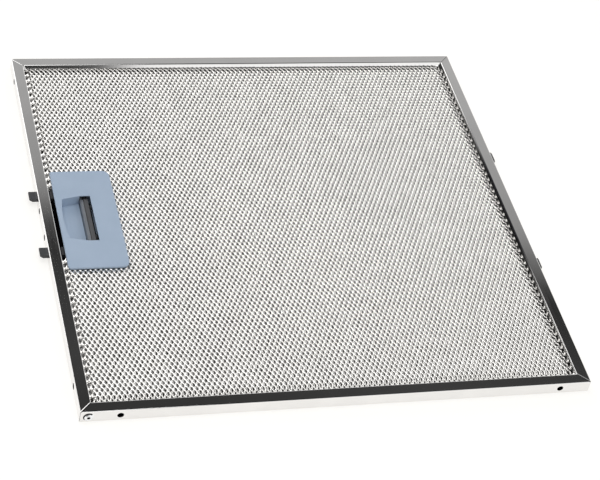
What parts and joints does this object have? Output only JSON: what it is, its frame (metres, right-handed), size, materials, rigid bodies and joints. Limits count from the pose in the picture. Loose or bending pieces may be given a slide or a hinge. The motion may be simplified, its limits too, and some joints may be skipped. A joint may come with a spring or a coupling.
{
  "type": "cooker hood grease filter",
  "caption": "Flat square metal grease filter: folded frame round a pack of expanded mesh, with a recessed pull whose sprung latch slides back to free the filter from a cooker hood.",
  "frame": {"origin": "under the middle of the frame, on the plane of its rear face", "axes": "+Z out of the front face, the latch at -X and the fixed lugs at +X, +Y along the latch side"},
  "size_m": [0.3283, 0.3209, 0.0088],
  "materials": {
    "frame_metal": "polished",
    "rivet_metal": "satin",
    "mesh_metal": "bright",
    "pull_plastic": "satin blue-grey",
    "latch_plastic": "dark grey",
    "spring_steel": "bright"
  },
  "bodies": {
    "filter": {"frame": "frame_metal", "corner_rivet": "rivet_metal", "rear_mesh": "mesh_metal", "inner_mesh_1": "mesh_metal", "inner_mesh_2": "mesh_metal", "inner_mesh_3": "mesh_metal", "inner_mesh_4": "mesh_metal", "inner_mesh_5": "mesh_metal", "front_mesh": "mesh_metal", "pull_shell": "pull_plastic", "pull_rear_plate": "pull_plastic", "latch_springs": "spring_steel", "fixed_lug_far": "latch_plastic", "fixed_lug_near": "latch_plastic"},
    "latch": {"latch_slider": "latch_plastic"}
  },
  "joints": [
    {"name": "latch_slide", "type": "slide", "parent": "filter", "child": "latch", "axis": [1, 0, 0], "range_m": [0, 0.0055], "stiffness_N_per_m": 500, "springref_m": -0.004, "deforming": ["latch_springs"]}
  ]
}
